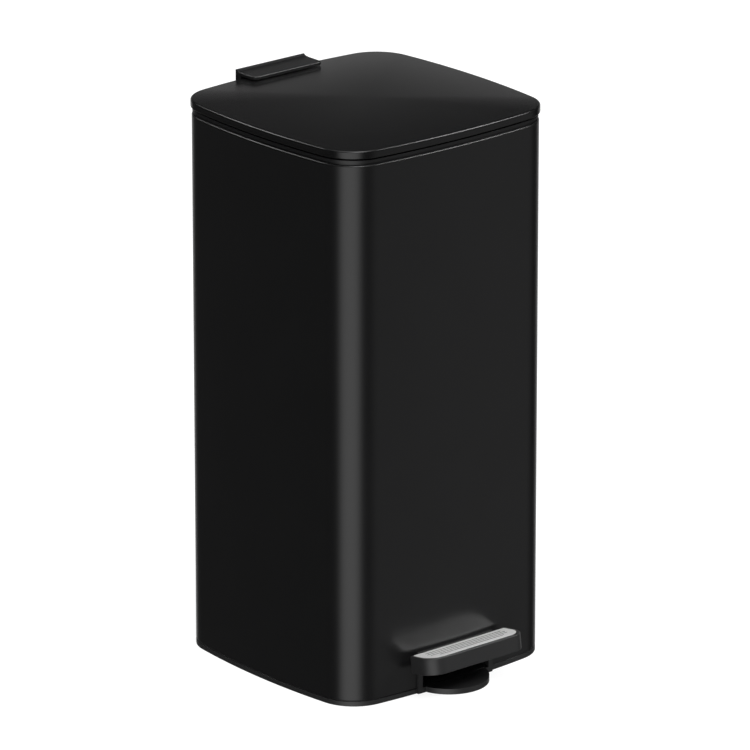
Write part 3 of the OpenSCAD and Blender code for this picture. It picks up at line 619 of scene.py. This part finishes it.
# From the middle of the floor up the inside, over the rim's bead and down the outside
profile = [(middle_in, B0 + floor_t)]
profile += fillet(wall_inset(B0) + wall + floor_r, B0 + floor_t + floor_r, floor_r, 270, 184, 8)
profile += [(wall_inset(z) + wall, z) for z in (*wall_levels, B1 - 3)]
profile += [(top_in + wall - 0.2, B1 - 1), (top_in + wall - 0.9, B1 - 0.2), (top_in + wall - 1.6, B1)]
profile += fillet(bead_in, B1 - bead_r, bead_r, 90, 270, 8)
profile += [(top_in - 1.2, B1 - rim_t + 0.2), (top_in, B1 - rim_t - 1), (wall_inset(B1 - 8), B1 - 8)]
profile += [(wall_inset(z), z) for z in reversed(wall_levels)]
profile += fillet(wall_inset(B0) + foot_r, B0 + foot_r, foot_r, 184, 270, 8)
profile += [(middle_in, B0)]
rings = rings_of(profile, MOUTH)
verts, faces = skin(rings, start=(0, MOUTH["y"], B0 + floor_t), end=(0, MOUTH["y"], B0))
bucket = build("bucket_shell", verts, faces)
soft_shade(bucket)
finish_piece(bucket, "bucket", "bucket_plastic", BUCKET, "inner_bucket")

# Soft sleeve on the bail: rounded ends and shallow ribs round it
grip_lo, grip_hi = box_mm("bail_grip")
grip_mid = (grip_lo + grip_hi) / 2
grip_half = (grip_hi.x - grip_lo.x) / 2
grip_steps, grip_around = 96, 28
end_r, end_round = 3.6, 1.3
rib_depth, rib_pitch = 0.28, 5.0
plain_end = 6
turns = [2 * math.pi * j / grip_around for j in range(grip_around)]
loops = []
for i in range(grip_steps + 1):
    x = -grip_half + 2 * grip_half * i / grip_steps
    end = min(1.0, (grip_half - abs(x)) / 2.0)
    r = end_r + end_round * math.sqrt(1 - (1 - end) ** 2)
    if abs(x) < grip_half - plain_end:
        r -= rib_depth * (1 - math.cos(2 * math.pi * x / rib_pitch)) / 2
    loops.append([(x, grip_mid.y + r * math.cos(t), grip_mid.z + r * math.sin(t)) for t in turns])
verts, faces = skin(loops, start=(-grip_half, grip_mid.y, grip_mid.z),
                    end=(grip_half, grip_mid.y, grip_mid.z))
grip = build("bail_sleeve", verts, faces)
soft_shade(grip)
finish_piece(grip, "bail", "rubber", RUBBER, "bail_grip")

# ---------------------------------------------------------------- the rest, with rounded edges

# CAD node, name of its piece, body, slot, material, width of the rounded edges in mm
REST = [
    ("rim_collar", "collar", "can", "black_plastic", BLACK, 0.35),
    ("base_tray", "base", "can", "black_plastic", FLOOR_LIT_BLACK, 0.8),
    ("pedal_bezel", "bezel", "can", "black_plastic", FLOOR_LIT_BLACK, 0.9),
    ("anti_slip_pads", "pads", "can", "rubber", RUBBER, 0.3),
    ("base_screws", "foot_screws", "can", "zinc_steel", ZINC, 0.35),
    ("pivot_bracket", "lever_bracket", "can", "zinc_steel", ZINC, 0.4),
    ("bracket_screws", "lever_bracket_screws", "can", "zinc_steel", ZINC, 0.3),
    ("pivot_pin", "lever_pin", "can", "bright_steel", STEEL, 0.3),
    ("rod_guides", "guides", "can", "grey_plastic", GREY, 0.5),
    ("rod_cover", "channel", "can", "grey_plastic", GREY, 0.5),
    ("damper_cylinder", "damper_body", "can", "bright_steel", STEEL, 0.4),
    ("damper_cap", "damper_top", "can", "grey_plastic", GREY, 0.4),
    ("damper_bracket", "damper_strap", "can", "zinc_steel", ZINC, 0.4),
    ("hinge_pin", "lid_pin", "can", "bright_steel", STEEL, 0.3),
    ("hinge_clips", "lid_pin_clips", "can", "zinc_steel", ZINC, 0.15),
    ("lid_bumpers", "bumpers", "lid", "rubber", RUBBER, 0.5),
    ("hinge_arm", "lid_arm", "lid", "zinc_steel", ZINC, 0.35),
    ("hinge_screws", "lid_screws", "lid", "zinc_steel", ZINC, 0.3),
    ("pedal_lever", "lever", "pedal", "zinc_steel", ZINC, 0.35),
    ("lever_bushes", "bushes", "pedal", "grey_plastic", GREY, 0.2),
    ("pedal_screws", "pedal_fixings", "pedal", "zinc_steel", ZINC, 0.3),
    ("push_rod", "rod_wire", "rod", "bright_steel", STEEL, 0.3),
    ("rod_clips", "hook_washers", "rod", "zinc_steel", ZINC, 0.15),
    ("rod_carrier", "rod_block", "rod", "grey_plastic", GREY, 0.5),
    ("damper_plunger", "piston", "rod", "bright_steel", STEEL, 0.3),
    ("bail_handle", "bail_strip", "bail", "grey_plastic", GREY, 0.8),
]
for node, name, body, slot, material, width in REST:
    finish_piece(softened(node, name, width), body, slot, material, node)

# ---------------------------------------------------------------- floor, light, camera


def stage_mesh(name, verts, faces):
    """Plain mesh in metres for the stage."""
    mesh = bpy.data.meshes.new(name)
    mesh.from_pydata(verts, [], faces)
    obj = bpy.data.objects.new(name, mesh)
    bpy.context.scene.collection.objects.link(obj)
    return obj


# White floor a little under the bin, which only the camera sees
FLOOR_HALF, FLOOR_Z = 8, -0.0003
floor = stage_mesh("floor", [(x, y, FLOOR_Z) for x, y in (
    (-FLOOR_HALF, -FLOOR_HALF), (FLOOR_HALF, -FLOOR_HALF), (FLOOR_HALF, FLOOR_HALF),
    (-FLOOR_HALF, FLOOR_HALF))], [(0, 1, 2, 3)])
fmat = bpy.data.materials.new("floor")
fmat.use_nodes = True
nt = fmat.node_tree
nt.nodes.clear()
out = nt.nodes.new("ShaderNodeOutputMaterial")
pale = nt.nodes.new("ShaderNodeAddShader")
white = nt.nodes.new("ShaderNodeBsdfDiffuse")
white.inputs["Color"].default_value = (0.25, 0.25, 0.25, 1)
glow = nt.nodes.new("ShaderNodeEmission")
glow.inputs["Color"].default_value = (1, 1, 1, 1)
glow.inputs["Strength"].default_value = 0.90
nt.links.new(white.outputs[0], pale.inputs[0])
nt.links.new(glow.outputs[0], pale.inputs[1])
nt.links.new(pale.outputs[0], out.inputs["Surface"])
floor.data.materials.append(fmat)
floor.visible_diffuse = False
floor.visible_glossy = False
floor.visible_shadow = False

# Camera, in mm: its direction from the bin, its lens and distance, and how far its aim lies off the middle
AZ, EL = math.radians(-40.388), math.radians(18.89)
SENSOR_W, LENS = 36.0, 345.6
DISTANCE, AIM_Z, TX, TZ = 7707.4, 320.0, 10.39, -10.42
toward = Vector((math.sin(AZ) * math.cos(EL), -math.cos(AZ) * math.cos(EL), math.sin(EL)))
right = Vector((math.cos(AZ), math.sin(AZ), 0))
up = Vector((-math.sin(AZ) * math.sin(EL), math.cos(AZ) * math.sin(EL), math.cos(EL)))
target = Vector((0, 0, AIM_Z)) + right * TX + up * TZ

# World: white where the camera looks; for light and reflections a soft studio of bands and spots
world = bpy.data.worlds.new("studio")
bpy.context.scene.world = world
world.use_nodes = True
nt = world.node_tree
nt.nodes.clear()
out = nt.nodes.new("ShaderNodeOutputWorld")
mix = nt.nodes.new("ShaderNodeMixShader")
path = nt.nodes.new("ShaderNodeLightPath")
backdrop = nt.nodes.new("ShaderNodeBackground")
backdrop.inputs["Color"].default_value = (1, 1, 1, 1)
backdrop.inputs["Strength"].default_value = 1.0
studio = nt.nodes.new("ShaderNodeBackground")
coord = nt.nodes.new("ShaderNodeTexCoord")
split = nt.nodes.new("ShaderNodeSeparateXYZ")
nt.links.new(coord.outputs["Generated"], split.inputs[0])
flat = nt.nodes.new("ShaderNodeVectorMath")
flat.operation = "MULTIPLY"
flat.inputs[1].default_value = (1, 1, 0)
nt.links.new(coord.outputs["Generated"], flat.inputs[0])
level = nt.nodes.new("ShaderNodeVectorMath")
level.operation = "NORMALIZE"
nt.links.new(flat.outputs["Vector"], level.inputs[0])

# Azimuth facing the camera from behind the bin, and the elevations over which every band fades in
BEHIND = 180 + math.degrees(AZ)
BAND_FOOT = (-80, -60)


def sky_math(operation, a, b):
    """Math node of two values, each a number or a socket."""
    node = nt.nodes.new("ShaderNodeMath")
    node.operation = operation
    for socket, value in ((node.inputs[0], a), (node.inputs[1], b)):
        if isinstance(value, (int, float)):
            socket.default_value = value
        else:
            nt.links.new(value, socket)
    return node.outputs[0]


def sky_step(value, low, high):
    """0 below low, 1 above high, smooth between; low may be above high."""
    node = nt.nodes.new("ShaderNodeMapRange")
    node.interpolation_type = "SMOOTHSTEP"
    rising = low < high
    node.inputs["From Min"].default_value = min(low, high)
    node.inputs["From Max"].default_value = max(low, high)
    node.inputs["To Min"].default_value = 0.0 if rising else 1.0
    node.inputs["To Max"].default_value = 1.0 if rising else 0.0
    nt.links.new(value, node.inputs["Value"])
    return node.outputs["Result"]


def compass(azimuth, elevation=0.0):
    """Direction to the studio's azimuth: 0 is the bin's front, growing towards +X."""
    a, e = math.radians(azimuth), math.radians(elevation)
    return (math.sin(a) * math.cos(e), -math.cos(a) * math.cos(e), math.sin(e))


def nearness(vector, direction):
    """Cosine of the angle to a direction."""
    node = nt.nodes.new("ShaderNodeVectorMath")
    node.operation = "DOT_PRODUCT"
    node.inputs[1].default_value = direction
    nt.links.new(vector, node.inputs[0])
    return node.outputs["Value"]


def band(azimuth, inner, outer, high, strength):
    """Soft upright strip: full within inner degrees of azimuth, none past outer, faded above high."""
    near = nearness(level.outputs["Vector"], compass(azimuth))
    value = sky_step(near, math.cos(math.radians(outer)), math.cos(math.radians(inner)))
    for edge in (BAND_FOOT, high):
        a, b = (math.sin(math.radians(x)) for x in edge)
        value = sky_math("MULTIPLY", value, sky_step(split.outputs["Z"], a, b))
    return sky_math("MULTIPLY", value, strength)


def spot(azimuth, elevation, inner, outer, strength):
    """Soft round light: full within inner degrees of its middle, none past outer."""
    near = nearness(coord.outputs["Generated"], compass(azimuth, elevation))
    value = sky_step(near, math.cos(math.radians(outer)), math.cos(math.radians(inner)))
    return sky_math("MULTIPLY", value, strength)


total = sky_math("ADD", 0.02, spot(0, 90, 16, 36, 1.8))
for part in (
    band(BEHIND, 16, 40, (14, 7), 0.85),
    band(-50, 10, 36, (30, 5), 1.9),
    band(41, 5, 40, (10, -10), 0.28),
    band(-140, 10, 50, (40, 5), 0.05),
    spot(52, 36, 4, 10, 30.0),
    spot(-154, 36, 4, 10, 15.0),
    spot(-20, 62, 8, 22, 7.0),
):
    total = sky_math("ADD", total, part)
nt.links.new(total, studio.inputs["Strength"])
nt.links.new(path.outputs["Is Camera Ray"], mix.inputs["Fac"])
nt.links.new(studio.outputs[0], mix.inputs[1])
nt.links.new(backdrop.outputs[0], mix.inputs[2])
nt.links.new(mix.outputs[0], out.inputs["Surface"])

camera_data = bpy.data.cameras.new("camera")
camera_data.sensor_width = SENSOR_W
camera_data.lens = LENS
camera_data.clip_end = 100
camera = bpy.data.objects.new("camera", camera_data)
camera.location = (target + toward * DISTANCE) * MM
camera.rotation_euler = (-toward).to_track_quat("-Z", "Y").to_euler()
bpy.context.scene.collection.objects.link(camera)
bpy.context.scene.camera = camera
bpy.context.scene.view_settings.view_transform = "Standard"
